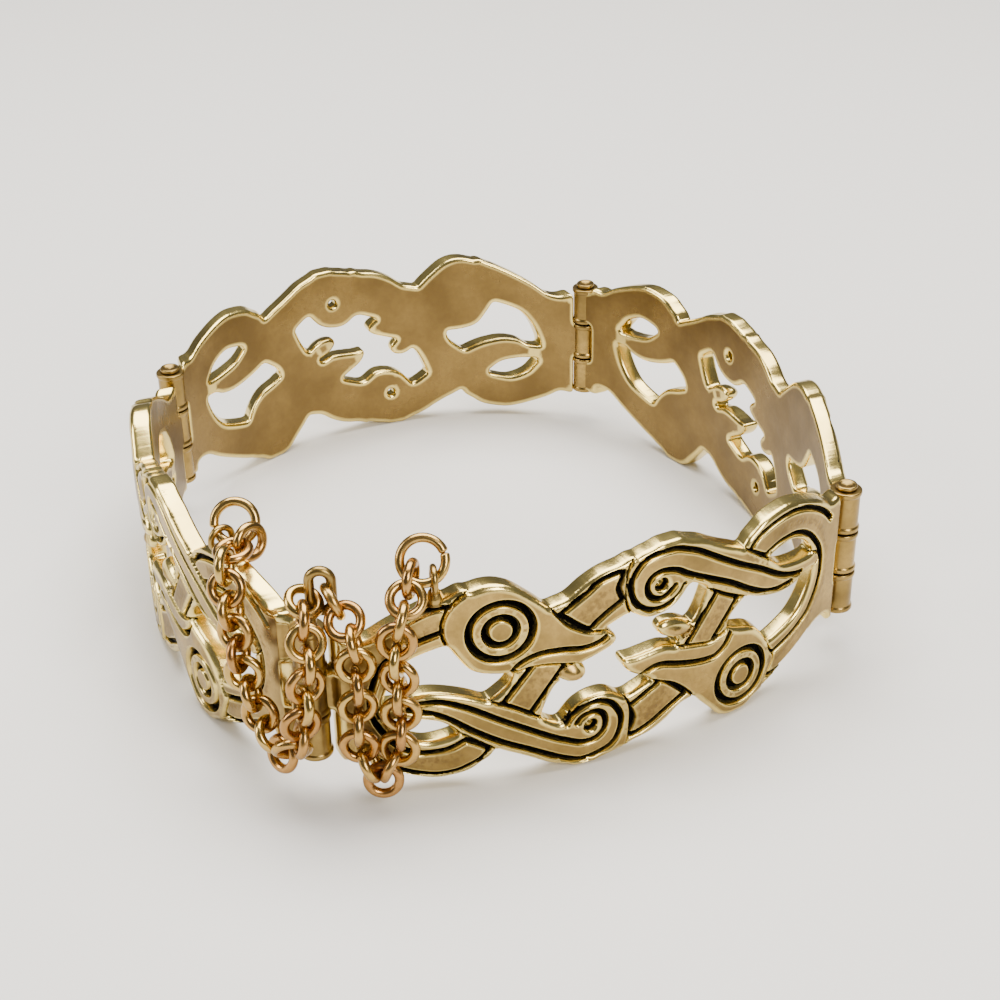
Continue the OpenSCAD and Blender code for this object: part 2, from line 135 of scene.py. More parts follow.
LOOP_EDGE = [(10.5, 6.3), (11.4, 7), (12.3, 7.6), (13.5, 7.9), (14.9, 8), (16.3, 7.7), (17.7, 7.2), (19.1, 6.6),
    (20.3, 5.9), (22.1, 5.5), (22.1, 0), (22.1, -4.6), (20.3, -4.5), (19.1, -4.7), (17.9, -5.5), (16.5, -6.3),
    (14.9, -7.1), (13.5, -7.7), (11.9, -8), (11.9, -4), (13.5, -3.7), (14.9, -3.3), (16.3, -2.7), (17.2, -1.8),
    (17.9, -0.6), (18.4, 0.9), (18.4, 2.2), (17.7, 3.1), (17, 3.9), (15.8, 4.5), (14.9, 4.6), (13.5, 4.3),
    (12.3, 3.9), (10.5, 5)]
STRAP_EDGE = [(7.2, 4.1), (6.3, 2.2), (5.6, 1), (4.4, -0.2), (4.2, -1.2), (8.9, -1.4), (8.9, -0.6), (9.3, 0.4),
    (10.5, 1.4), (11.2, 2), (8.9, 3.6)]
UNDER_EDGE = [(-0.7, -4), (0.2, -3.6), (1.2, -3.2), (2.1, -2.9), (3.7, -2.9), (6.5, -5.2), (5.8, -5.8),
    (4.7, -6.1), (3.5, -7), (2.1, -7.7), (0.7, -8), (-0.7, -8.1)]
HEAD_EDGE = {
    "right": [(-0.5, -0.3), (0.5, -0.3), (1.4, -0.2), (3, -0.1), (4.4, -0.6), (6.1, -1), (7.2, -1.2), (8.4, -0.9),
        (9.1, -0.6), (10, -1), (11.2, -1.4), (12.1, -2), (13, -3.1), (13.5, -4.4), (14, -5.3), (13.5, -6.5),
        (13, -7.6), (11.9, -8.4), (11, -8.9), (10, -9), (8.6, -8.6), (7.7, -7.7), (6.5, -6.4), (5.4, -5),
        (4, -3.7), (2.6, -3), (1.2, -2.2), (0, -1.4)],
    "left": [(0.9, -1.9), (1.4, -1.3), (2.6, -0.8), (3.7, -0.5), (4.9, -0.7), (6.5, -1), (7.9, -1), (9.3, -0.7),
        (11, -0.9), (12.1, -1.4), (12.8, -2.3), (13.5, -3.4), (14, -4.5), (14, -5.8), (13.3, -7.1), (11.9, -8.1),
        (10.3, -8.4), (8.9, -8), (7.7, -7.1), (6.5, -6), (5.8, -5.1), (4.9, -4), (3.5, -3.1), (2.3, -2.8),
        (1.4, -2.5)]}

# Centre lines of the grooves, each half in its own right-hand coordinates.
RIBBON_GROOVES = {
    "right": [
        [(16.7, 1.35), (15.8, 1.5), (14.1, 2.2), (12, 3.57), (10, 4.7), (8, 5.95), (6, 7.26), (5, 7.74), (4, 8.13),
            (3, 8.22), (2.2, 8.17), (1.5, 8), (0.9, 7.7), (0.48, 7.2), (0.2, 6.6), (0.1, 6), (0.15, 5.35),
            (0.35, 4.74), (0.74, 4.2), (1.26, 3.78), (2, 3.5), (2.74, 3.48), (3.4, 3.68), (4, 4), (4.4, 4.4),
            (4.65, 4.87)],
        [(15.6, 0.95), (14.1, 0.95), (13.2, 1.1), (12.35, 1.4), (11.5, 1.85), (10.6, 2.4), (9, 3.48), (7, 4.57),
            (5, 5.65), (4, 6.3), (3, 6.6), (2.4, 6.6), (1.87, 6.4), (1.5, 5.96), (1.43, 5.43), (1.57, 4.9),
            (1.96, 4.48), (2.57, 4.3), (3.1, 4.43), (3.5, 4.74), (3.8, 5.05)]],
    "left": [
        [(16.8, 1.5), (15, 2), (14, 2.5), (13, 3.2), (12, 3.95), (10, 5.25), (8, 6.3), (6, 7.4), (5, 7.9),
            (4, 8.25), (3, 8.2), (1.7, 7.8), (1.1, 7.35), (0.75, 6.74), (0.55, 6), (0.55, 5.26), (0.8, 4.57),
            (1.3, 3.87), (2, 3.45), (2.74, 3.35), (3.43, 3.5), (4.1, 3.85), (4.6, 4.3), (4.9, 4.8)],
        [(16.2, 1.05), (15, 1), (14, 1.15), (13, 1.55), (12, 2.05), (10, 3.3), (8, 4.5), (6, 5.7), (5, 6.2),
            (4, 6.65), (3.26, 6.75), (2.57, 6.6), (2.1, 6.2), (1.87, 5.8), (1.83, 5.17), (2.04, 4.57),
            (2.57, 4.2), (3.26, 4.25), (3.8, 4.5), (4.1, 4.9)]]}
LOW_GROOVES = {
    "right": [
        [(12.4, 4.5), (11.65, 4.95), (10.9, 5.55), (11.5, 6.3), (12.2, 6.67), (13, 6.96), (14, 7.16), (15, 7.22),
            (16, 7.13), (17, 6.87), (18, 6.43), (19, 5.83), (19.7, 5.26), (20.3, 4.6)],
        [(12.4, 4.5), (13, 4.78), (14, 5.09), (15, 5.17), (15.8, 5.13), (16.7, 4.83), (17.4, 4.39), (18, 3.87),
            (18.5, 3.26), (18.96, 2.57), (19.26, 1.78), (19.35, 1), (19.3, 0), (19.04, -1), (18.7, -1.74),
            (18, -2.87), (17, -3.65), (16, -4.22), (15, -4.61), (14, -4.95)],
        [(13.2, -6.96), (14.1, -6.96), (15, -6.78), (16, -6.35), (17, -5.83), (18.3, -5.05)],
        [(7.78, 3.26), (5.1, -0.55)],
        [(9.7, 1.85), (7.6, -0.95)],
        [(7.6, 3.3), (9.85, 1.9)],
        [(0.1, -4.65), (1.1, -4.1), (2.2, -3.5), (3.1, -3.15), (5, -4.85)],
        [(5.1, -5), (4.3, -5.4), (3, -6.15), (1.7, -6.9), (0.1, -7.3), (0.55, -5.9), (0.1, -4.65)]],
    "left": [
        [(12.6, 4.7), (11.6, 5.2), (10.9, 5.8), (11.5, 6.6), (12.35, 7.05), (13.2, 7.4), (14.1, 7.55),
            (15, 7.55), (16, 7.35), (17, 7.05), (18, 6.6), (19, 6), (19.7, 5.4), (20.3, 4.7)],
        [(12.6, 4.7), (13.4, 5.15), (14.1, 5.4), (15, 5.5), (16, 5.45), (17, 5.1), (18, 4.3), (18.6, 3.4),
            (19.05, 2.6), (19.3, 1.8), (19.4, 1), (19.3, 0), (19.04, -1), (18.7, -1.9), (18, -2.87), (17, -3.65),
            (16, -4.22), (15, -4.61), (14, -4.95)],
        [(13.2, -6.96), (14.1, -6.96), (15, -6.78), (16, -6.35), (17, -5.83), (18.3, -5.05)],
        [(7.78, 3.26), (5.1, -0.55)],
        [(9.7, 1.85), (7.6, -0.95)],
        [(7.6, 3.3), (9.85, 1.9)],
        [(0.5, -5.1), (1.7, -4.4), (2.6, -3.75), (3.4, -3.3), (5.3, -4.85)],
        [(5.4, -5), (4.5, -5.6), (3.3, -6.4), (2.3, -7.1), (0.5, -7.4), (0.9, -6.2), (0.5, -5.1)]]}
MOUTHS = {
    "right": [(1.1, -1.95), (1.6, -1.7), (2.2, -1.52), (3, -1.57), (4, -1.9), (5, -2.2), (6, -2.43), (7, -2.57),
        (7.7, -2.52), (8.3, -2.17), (8.74, -1.74), (9.1, -1.1)],
    "left": [(1.9, -2.3), (2.33, -2.05), (3.2, -1.83), (4.1, -1.83), (5, -2), (6.56, -2.1), (7.67, -1.9),
        (8.56, -1.44), (9.05, -0.9)]}
EYES = {"right": (10.42, -5.39), "left": (9.9, -4.55)}
# Radii in a bird's eye: the pupil, the ring round it, and the groove round that
PUPIL_R = 0.93
INNER_RING = (1.37, 2.13)
OUTER_GROOVE_R = 2.58
SPIRAL_EYE = {"right": (2.66, 5.43), "left": (3, 5.4)}
BALL = {"right": (3.3, 5.4), "left": (3.6, 5.3)}
# Pitted grounds of the low straps
PANELS = [[(7.85, 2.83), (9.2, 1.87), (7.2, -1), (5.5, -0.6)],
    [(0.57, -4.78), (2.9, -3.43), (4.39, -4.48), (2.5, -6.3), (0.3, -7.04)],
    [(13, 6.4), (16, 6.7), (18.7, 5.4), (20.3, 2), (20, -1.5), (18, -4), (14, -6.2), (14, -5.4), (17.6, -3.6),
        (19.8, -0.5), (19.8, 2), (18, 4.9), (16, 5.8), (13, 5.5)]]
# Centre, half length, half width and turn of the small lobes between the heads
LOBES = {"right": ((4.1, 0.95), 1.55, 0.8, -18), "left": ((4.3, 0.5), 1.15, 0.85, -10)}

# Step of the flat grid, and how far distances are worked out on it
STEP = 0.086
REACH = 1.3


def smooth(points, closed, n=4):
    """A Catmull-Rom curve through the points, n steps a span."""
    p = np.array(points, float)
    count = len(p)
    spans = count if closed else count - 1
    out = []
    for i in range(spans):
        if closed:
            a, b, c, d = (p[(i + k) % count] for k in (-1, 0, 1, 2))
        else:
            a, b, c, d = (p[min(max(i + k, 0), count - 1)] for k in (-1, 0, 1, 2))
        for t in np.arange(n) / n:
            out.append(0.5 * (2 * b + (c - a) * t + (2 * a - 5 * b + 4 * c - d) * t * t
                + (3 * b - a - 3 * c + d) * t ** 3))
    if not closed:
        out.append(p[-1])
    return np.array(out)


class Grid:
    """A flat grid over the plaque, for distances to the lines of the pattern."""

    def __init__(self, step):
        nu = math.ceil(HALF / step) + 2
        nv = math.ceil(HALF_H / step) + 3
        self.step = step
        self.u = np.arange(-nu, nu + 1) * step
        self.v = np.arange(-nv, nv + 1) * step
        self.U, self.V = np.meshgrid(self.u, self.v, indexing="ij")

    def window(self, low, high):
        """The part of the grid within REACH of a box."""
        a = np.searchsorted(self.u, low[0] - REACH)
        b = np.searchsorted(self.u, high[0] + REACH)
        c = np.searchsorted(self.v, low[1] - REACH)
        d = np.searchsorted(self.v, high[1] + REACH)
        return slice(a, b), slice(c, d)

    def line(self, path):
        """Distance to an open or closed line of points, up to REACH."""
        return self.segments(zip(path[:-1], path[1:]))

    def segments(self, ends):
        """Distance to many short lines, up to REACH."""
        out = np.full(self.U.shape, REACH)
        for a, b in ends:
            w = self.window(np.minimum(a, b), np.maximum(a, b))
            du = self.U[w] - a[0]
            dv = self.V[w] - a[1]
            e = b - a
            t = np.clip((du * e[0] + dv * e[1]) / max(e @ e, 1e-12), 0, 1)
            out[w] = np.minimum(out[w], np.hypot(du - t * e[0], dv - t * e[1]))
        return out

    def area(self, path):
        """Signed distance to a closed line, positive inside."""
        ring = np.vstack([path, path[:1]])
        inside = np.zeros(self.U.shape, bool)
        for a, b in zip(ring[:-1], ring[1:]):
            low, high = (a, b) if a[1] < b[1] else (b, a)
            for j in range(np.searchsorted(self.v, low[1]), np.searchsorted(self.v, high[1])):
                x = low[0] + (high[0] - low[0]) * (self.v[j] - low[1]) / (high[1] - low[1])
                k = np.searchsorted(self.u, x)
                inside[k:, j] ^= True
        return np.where(inside, 1, -1) * self.line(ring)

    def circle(self, centre):
        """Distance to a point."""
        return np.hypot(self.U - centre[0], self.V - centre[1])


def ramp(x, low, high):
    """A smooth step from 0 at low to 1 at high."""
    t = np.clip((x - low) / (high - low), 0, 1)
    return t * t * (3 - 2 * t)


def turned(field):
    """A field of one half, turned by 180 degrees for the other."""
    return field[::-1, ::-1]


def half_fields(grid, side):
    """Distances to all that makes one half of the pattern."""
    low = [grid.area(smooth(edge, True)) for edge in (LOOP_EDGE, STRAP_EDGE, UNDER_EDGE)]
    (cx, cy), long, wide, turn = LOBES[side]
    c, s = math.cos(math.radians(turn)), math.sin(math.radians(turn))
    du = (grid.U - cx) * c + (grid.V - cy) * s
    dv = -(grid.U - cx) * s + (grid.V - cy) * c
    lobe = (1 - np.hypot(du / long, dv / wide)) * wide
    groove = np.min([grid.line(smooth(p, False)) for p in LOW_GROOVES[side]], axis=0)
    ribbon_groove = np.min([grid.line(smooth(p, False)) for p in RIBBON_GROOVES[side]], axis=0)
    return {
        "low": np.max(low, axis=0),
        "lobe": lobe,
        "low_groove": groove,
        "ribbon": grid.area(smooth(RIBBON_EDGE, True)),
        "ribbon_groove": ribbon_groove,
        "head": grid.area(smooth(HEAD_EDGE[side], True)),
        "mouth": grid.line(smooth(MOUTHS[side], False)),
        "eye": grid.circle(EYES[side]),
        "hole": grid.circle(SPIRAL_EYE[side]),
        "ball": grid.circle(BALL[side]),
        "panel": np.max([grid.area(np.array(p, float)) for p in PANELS], axis=0),
    }


def head_layer(f, outline):
    """Height and edge distance of a bird head; its free edges are rounded by the rim instead."""
    r = f["eye"]
    rings = np.minimum(np.abs(r - (PUPIL_R + INNER_RING[0]) / 2) - (INNER_RING[0] - PUPIL_R) / 2,
        np.abs(r - (INNER_RING[1] + OUTER_GROOVE_R) / 2) - (OUTER_GROOVE_R - INNER_RING[1]) / 2)
    own = f["head"] + 2 * ramp(outline - f["head"], *FREE_EDGE)
    e = np.minimum(np.minimum(own, f["mouth"] - GROOVE_W / 2), rings)
    dome = HEAD_DOME * ramp(np.minimum(f["head"], f["mouth"] + 0.2), 0, REACH)
    in_eye = ramp(r, INNER_RING[1] + 0.1, INNER_RING[1])
    ring_dish = 0.05 * ramp(np.abs(r - (INNER_RING[0] + INNER_RING[1]) / 2), 0.3, 0)
    dish = ring_dish + 0.05 * ramp(r, 0.8, 0.3)
    top = TOP_HEAD + dome * (1 - in_eye) + in_eye * (HEAD_DOME * 0.6 - dish)
    return top, e


def arc(e, radius):
    """Rise of a quarter circle from an edge inwards, and its slope, held below a steep limit."""
    t = np.clip(e / radius, 0, 1)
    rise = np.sqrt(1 - (1 - t) ** 2)
    slope = np.where(e < radius, (1 - t) / np.maximum(rise, 0.04), 0) / radius
    return rise, slope


class Pattern:
    """Outline, layers, height and panels of a plaque on the flat grid, and its triangles."""

    def __init__(self, step):
        grid = Grid(step)
        right = half_fields(grid, "right")
        left = {k: turned(v) for k, v in half_fields(grid, "left").items()}
        both = {k: (right[k], left[k]) for k in right}
        ribbons = np.maximum(*both["ribbon"])
        heads = np.maximum(*both["head"])
        lobes = np.maximum(*both["lobe"])
        low = np.maximum(np.maximum(*both["low"]), lobes)
        holes = np.minimum(*both["hole"]) - SPIRAL_HOLE_R
        outline = np.maximum(np.maximum(low, ribbons), heads)
        outline = np.minimum(outline, HALF_H - np.abs(grid.V))
        outline = np.minimum(outline, holes)
        outline = np.minimum(outline, HALF - BARREL_ROOM - np.abs(grid.U))
        self.grid = grid
        self.outline = self.soften(np.maximum(outline, self.tabs(grid)))
        points, segments = self.contour(self.outline, 0)
        self.outline = np.where(self.outline > 0, 1, -1) * grid.segments(points[segments])
        outline = self.outline

        edge = np.minimum(np.minimum(*both["low_groove"]) - GROOVE_W / 2, -ribbons - CREASE)
        edge = np.minimum(edge, -heads - CREASE)
        top = np.full(edge.shape, TOP_LOW)
        lobe = (lobes > -0.05) & (heads < -CREASE)
        edge = np.where(lobe, 1, edge)
        top = np.where(lobe, LOBE_FOOT + LOBE_RISE * np.sqrt(np.clip(lobes / 0.75 + 0.07, 0, 1)), top)
        for half in (right, left):
            mine = half["ribbon"] > 0
            own = half["ribbon"] + 2 * ramp(outline - half["ribbon"], *FREE_EDGE)
            e = np.minimum(np.minimum(own, half["ribbon_groove"] - GROOVE_W / 2), -heads - CREASE)
            edge = np.where(mine, e, edge)
            top = np.where(mine, TOP_RIBBON + BALL_RISE * ramp(half["ball"], BALL_REACH, 0.05), top)
        for half in (right, left):
            mine = half["head"] > 0
            head_top, e = head_layer(half, outline)
            edge = np.where(mine, e, edge)
            top = np.where(mine, head_top, top)
        leaf = ramp(np.abs(grid.U), HALF - BARREL_ROOM - 0.2, HALF - BARREL_ROOM + 0.05)
        top = top * (1 - leaf) + TOP_LEAF * leaf
        edge = np.where(leaf > 0, np.maximum(edge, leaf), edge)
        edge = np.minimum(edge, holes - HOLE_SINK)
        self.edge = edge
        self.top = top
        panels = np.maximum(*both["panel"])
        self.panel = ramp(panels, -0.05, 0.15) * (ribbons < 0) * (heads < 0)
        self.edge_slopes = np.gradient(edge, step)
        self.top_slopes = np.gradient(top, step)
        self.outline_slopes = np.gradient(self.outline, step)
        self.triangulate()

    def soften(self, field):
        """The field with its sharp corners rounded, as wax and casting round them."""
        out = np.clip(field, -1, 1)
        n = math.ceil(2.5 * CORNER_ROUND / self.grid.step)
        weights = np.exp(-0.5 * (np.arange(-n, n + 1) * self.grid.step / CORNER_ROUND) ** 2)
        for axis in (0, 1):
            out = np.apply_along_axis(np.convolve, axis, np.pad(out, [(n, n) if k == axis else (0, 0)
                for k in (0, 1)], mode="edge"), weights / weights.sum(), "valid")
        return out

    @staticmethod
    def tabs(grid):
        """The tabs of the knuckles: the middle one at the start, the outer two at the end."""
        third = BARREL_H / 3
        out = np.full(grid.U.shape, -REACH)
        gap = KNUCKLE_GAP / 2
        for s, low, high in ((-1, -third / 2, third / 2), (1, -1.5 * third, -third / 2),
                (1, third / 2, 1.5 * third)):
            u = s * grid.U
            box = np.minimum(np.minimum(u - HALF + 2.4, HALF - 0.3 - u),
                np.minimum(grid.V - low - gap, high - gap - grid.V))
            out = np.maximum(out, box)
        return out

    def sample(self, field, p):
        """A field at any points, by its four neighbours."""
        g = self.grid
        x = np.clip((p[:, 0] - g.u[0]) / g.step, 0, len(g.u) - 1.001)
        y = np.clip((p[:, 1] - g.v[0]) / g.step, 0, len(g.v) - 1.001)
        i, j = x.astype(int), y.astype(int)
        a, b = x - i, y - j
        return ((1 - a) * (1 - b) * field[i, j] + a * (1 - b) * field[i + 1, j]
            + (1 - a) * b * field[i, j + 1] + a * b * field[i + 1, j + 1])

    def contour(self, field, level, keep=None):
        """Points and segments of a level line of a field, only where keep is positive."""
        g = self.grid
        f = field - level
        f = np.where(f == 0, 1e-9, f)
        nu, nv = f.shape
        across = (f[:-1] > 0) != (f[1:] > 0)
        upward = (f[:, :-1] > 0) != (f[:, 1:] > 0)
        t = np.clip(f[:-1] / (f[:-1] - f[1:] + ~across), NUDGE, 1 - NUDGE)[across]
        i, j = np.nonzero(across)
        points = [np.stack([g.u[i] + t * g.step, g.v[j]], 1)]
        t = np.clip(f[:, :-1] / (f[:, :-1] - f[:, 1:] + ~upward), NUDGE, 1 - NUDGE)[upward]
        i, j = np.nonzero(upward)
        points.append(np.stack([g.u[i], g.v[j] + t * g.step], 1))
        points = np.vstack(points)
        number_a = np.full(across.shape, -1)
        number_a[across] = np.arange(across.sum())
        number_u = np.full(upward.shape, -1)
        number_u[upward] = across.sum() + np.arange(upward.sum())
        sides = np.stack([number_a[:, :-1], number_u[1:], number_a[:, 1:], number_u[:-1]], -1).reshape(-1, 4)
        count = (sides >= 0).sum(1)
        two = sides[count == 2]
        segments = [two[two >= 0].reshape(-1, 2)]
        middle = (f[:-1, :-1] + f[1:, :-1] + f[:-1, 1:] + f[1:, 1:]).ravel()
        corner = f[:-1, :-1].ravel()
        four = count == 4
        same = four & ((middle > 0) == (corner > 0))
        other = four & ~same
        segments += [sides[same][:, [0, 1]], sides[same][:, [2, 3]]]
        segments += [sides[other][:, [0, 3]], sides[other][:, [1, 2]]]
        segments = np.vstack(segments)
        if keep is not None:
            good = self.sample(keep, points) > 0
            segments = segments[good[segments].all(1)]
            used, segments = np.unique(segments, return_inverse=True)
            points, segments = points[used], segments.reshape(-1, 2)
        return points, segments

    def spots(self, spacing, keep):
        """Staggered points over the plaque where the field keep is positive."""
        u = np.arange(-HALF, HALF, spacing)
        v = np.arange(-HALF_H, HALF_H, spacing * 0.87)
        U, V = np.meshgrid(u, v, indexing="ij")
        U = U + 0.5 * spacing * (np.arange(len(v)) % 2)
        p = np.stack([U.ravel(), V.ravel()], 1)
        return p[self.sample(keep, p) > 0]

    def mesh(self, lines, spots):
        """Triangles between the outline and the given lines and spots."""
        points, segments, n = [], [], 0
        for p, e in lines:
            points.append(p)
            segments.append(e + n)
            n += len(p)
        p = np.vstack([*points, spots])
        found = delaunay_2d_cdt([Vector(q) for q in p.tolist()], np.vstack(segments).tolist(), [], 0, 1e-6)
        flat = np.array([list(q) for q in found[0]])
        tris = np.array([t for t in found[2] if len(t) == 3])
        outline_points, outline_segments = lines[0]
        tris = tris[self.within(flat[tris].mean(1), outline_points[outline_segments])]
        match = np.full(len(p), -1)
        for new, old in enumerate(found[3]):
            for k in old:
                match[k] = new
        return flat, tris, match

    def triangulate(self):
        """The face, with lines along every groove, and the plain back; both share the outline."""
        rim = self.contour(self.outline, 0)
        inner = self.outline - 0.03
        lines = [rim] + [self.contour(self.outline, x) for x in OUTLINE_LINES]
        clear = self.outline - OUTLINE_LINES[-1] - 0.02
        lines += [self.contour(self.edge, x, inner if x == 0 else clear) for x in EDGE_LINES]
        ends = HALF - BARREL_ROOM - np.abs(self.grid.U)
        lines += [self.contour(ends, x, self.outline - 0.06) for x in END_LINES]
        flats = np.minimum(clear, np.abs(self.edge - EDGE_ROUND / 2) - EDGE_ROUND / 2 - 0.08)
        self.flat, self.front, match = self.mesh(lines, self.spots(FACE_SPACING, flats))
        self.rim_front = match[rim[1]]
        lines = [rim] + [self.contour(self.outline, x) for x in BACK_LINES]
        self.back_flat, back, match = self.mesh(lines, self.spots(BACK_SPACING, self.outline - BACK_SPACING))
        self.back = back[:, ::-1]
        self.rim_back = match[rim[1]]
        a, b = self.flat[self.rim_front[:, 0]], self.flat[self.rim_front[:, 1]]
        su, sv = (self.sample(k, (a + b) / 2) for k in self.outline_slopes)
        turned_round = (b - a)[:, 0] * sv - (b - a)[:, 1] * su < 0
        self.rim_front[turned_round] = self.rim_front[turned_round][:, ::-1]
        self.rim_back[turned_round] = self.rim_back[turned_round][:, ::-1]

    @staticmethod
    def within(p, edges):
        """Which points lie inside the closed lines that the edges make."""
        order = np.argsort(p[:, 1])
        x, y = p[order].T
        inside = np.zeros(len(p), bool)
        low = np.searchsorted(y, edges[:, :, 1].min(1), "right")
        high = np.searchsorted(y, edges[:, :, 1].max(1), "right")
        for (a, b), i, j in zip(edges, low, high):
            if j > i:
                inside[i:j] ^= x[i:j] < a[0] + (b[0] - a[0]) * (y[i:j] - a[1]) / (b[1] - a[1])
        out = np.empty(len(p), bool)
        out[order] = inside
        return out

    def face(self, p):
        """Height and slopes of the face over the middle of the wall."""
        e, s, top = (self.sample(k, p) for k in (self.edge, self.outline, self.top))
        rise, steep = arc(e, EDGE_ROUND)
        lift = top - GROUND_T
        height = GROUND_T + lift * rise
        slopes = [lift * steep * self.sample(k, p) + rise * self.sample(t, p)
            for k, t in zip(self.edge_slopes, self.top_slopes)]
        fall, steep = arc(np.maximum(s, 0), RIM_ROUND)
        limit = np.maximum(top, TOP_LOW * (e < 0.3)) - RIM_ROUND * (1 - fall)
        over = limit < height
        outline_slopes = [RIM_ROUND * steep * self.sample(k, p) for k in self.outline_slopes]
        slopes = [np.where(over, k, m) for k, m in zip(outline_slopes, slopes)]
        return np.where(over, limit, height), slopes, e, s

    def back_face(self, p):
        """Height and slopes of the back, with the slight waves of a casting."""
        s = np.maximum(self.sample(self.outline, p), 0)
        rise, steep = arc(s, BACK_ROUND)
        calm = ramp(s, 0.2, 0.8)
        u, v = p.T
        wave = 0.03 * np.sin(0.9 * u + 1) * np.cos(0.8 * v)
        slopes = [0.027 * np.cos(0.9 * u + 1) * np.cos(0.8 * v) * calm,
            -0.024 * np.sin(0.9 * u + 1) * np.sin(0.8 * v) * calm]
        slopes = [k - BACK_ROUND * steep * self.sample(m, p) for k, m in zip(slopes, self.outline_slopes)]
        return -BACK_T + BACK_ROUND * (1 - rise) + wave * calm, slopes, s


class Shape:
    """Triangles that grow into one mesh, each point with its normal and its marks."""

    def __init__(self):
        self.points, self.tris, self.normals, self.marks, self.count = [], [], [], [], 0

    def add(self, points, tris, normals=None, edge=1.0, rim=0.6, panel=0.0):
        """Edge and rim are distances to a groove and to the outline; panel marks pitted grounds."""
        points = np.asarray(points, float)
        tris = np.asarray(tris, int)
        if normals is None:
            normals = np.zeros(points.shape)
            a, b, c = (points[tris[:, k]] for k in range(3))
            for k in range(3):
                np.add.at(normals, tris[:, k], np.cross(b - a, c - a))
        self.points.append(points)
        self.tris.append(tris + self.count)
        self.normals.append(normals / np.maximum(np.linalg.norm(normals, axis=1), 1e-12)[:, None])
        marks = np.empty((len(points), 3))
        for k, value in enumerate((edge, rim, panel)):
            marks[:, k] = value
        self.marks.append(marks)
        self.count += len(points)

    def build(self, name, material, body, slot, *nodes):
        """The piece in the scene, riding on its body in the place of its nodes."""
        points = np.vstack(self.points) * MM
        tris = np.vstack(self.tris)
        marks = np.vstack(self.marks)
        mesh = bpy.data.meshes.new(name)
        mesh.vertices.add(len(points))
        mesh.vertices.foreach_set("co", points.ravel())
        mesh.loops.add(tris.size)
        mesh.loops.foreach_set("vertex_index", tris.ravel().astype(np.int32))
        mesh.polygons.add(len(tris))
        mesh.polygons.foreach_set("loop_start", np.arange(0, tris.size, 3, dtype=np.int32))
        mesh.polygons.foreach_set("use_smooth", np.ones(len(tris), bool))
        mesh.update(calc_edges=True)
        for k, label in enumerate(("edge", "rim", "panel")):
            mark = mesh.attributes.new(label, "FLOAT", "POINT")
            mark.data.foreach_set("value", marks[:, k].astype(np.float32))
        mesh.normals_split_custom_set_from_vertices(np.vstack(self.normals).tolist())
        mesh.materials.append(material)
        piece = bpy.data.objects.new(name, mesh)
        bpy.context.scene.collection.objects.link(piece)
        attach(piece, body)
        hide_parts(*nodes)


def lattice(rows, columns, wrap_rows, wrap_columns):
    """Triangles of a grid of points, closed on itself where asked."""
    i = np.arange(rows if wrap_rows else rows - 1)
    j = np.arange(columns if wrap_columns else columns - 1)
    i, j = (k.ravel() for k in np.meshgrid(i, j, indexing="ij"))
    a = i * columns + j
    b = (i + 1) % rows * columns + j
    c = (i + 1) % rows * columns + (j + 1) % columns
    d = i * columns + (j + 1) % columns
    return np.vstack([np.stack([a, b, c], 1), np.stack([a, c, d], 1)])


def lathe(profile, centre, n=48):
    """A closed profile of (radius, height) turned round an upright axis."""
    profile = np.array(profile, float)
    turn = np.arange(n) * 2 * math.pi / n
    r, z = profile[:, 0], profile[:, 1]
    points = np.stack([centre[0] + np.outer(np.cos(turn), r), centre[1] + np.outer(np.sin(turn), r),
        np.broadcast_to(z, (n, len(z)))], -1).reshape(-1, 3)
    return points, lattice(n, len(profile), True, True)[:, ::-1]


def tube(path, radius, closed, sides=16):
    """Wire of round section along a path, with round ends where it is open."""
    p = np.array(path, float)
    if closed:
        d = np.roll(p, -1, 0) - np.roll(p, 1, 0)
    else:
        d = np.gradient(p, axis=0)
    d /= np.linalg.norm(d, axis=1)[:, None]
    normal = np.cross(d[0], (0, 0, 1.0))
    if np.linalg.norm(normal) < 1e-3:
        normal = np.cross(d[0], (1.0, 0, 0))
    normals = []
    for k in range(len(p)):
        normal = normal - d[k] * (normal @ d[k])
        normal /= np.linalg.norm(normal)
        normals.append(normal)
    normals = np.array(normals)
    across = np.cross(d, normals)
    radii = np.full(len(p), radius)
    if not closed:
        cap = np.linspace(0, 1, 5)[:-1]
        ends = np.sqrt(1 - (1 - cap) ** 2)
        start = p[0] - np.outer(0.6 * radius * (1 - cap), d[0])
        stop = p[-1] + np.outer(0.6 * radius * (1 - cap[::-1]), d[-1])
        p = np.vstack([start, p, stop])
        ends = radius * np.maximum(ends, 0.02)
        radii = np.concatenate([ends, radii, ends[::-1]])
        normals = np.vstack([np.repeat(normals[:1], 4, 0), normals, np.repeat(normals[-1:], 4, 0)])
        across = np.vstack([np.repeat(across[:1], 4, 0), across, np.repeat(across[-1:], 4, 0)])
    turn = np.arange(sides) * 2 * math.pi / sides
    ring = np.cos(turn)[None, :, None] * normals[:, None] + np.sin(turn)[None, :, None] * across[:, None]
    points = (p[:, None] + ring * radii[:, None, None]).reshape(-1, 3)
    return points, lattice(len(p), sides, closed, True)


def circle_path(centre, axis, radius, n, start=0.0, sweep=2 * math.pi, first=None):
    """Points round a circle, from the start angle in the plane of the axis."""
    axis = np.array(axis, float) / np.linalg.norm(axis)
    x = np.array(first, float) if first is not None else np.cross(axis, (0.3, 0.5, 0.8))
    x = x - axis * (x @ axis)
    x /= np.linalg.norm(x)
    y = np.cross(axis, x)
    whole = abs(sweep - 2 * math.pi) < 1e-6
    t = start + np.linspace(0, sweep, n, endpoint=not whole)
    return np.array(centre) + radius * (np.outer(np.cos(t), x) + np.outer(np.sin(t), y))


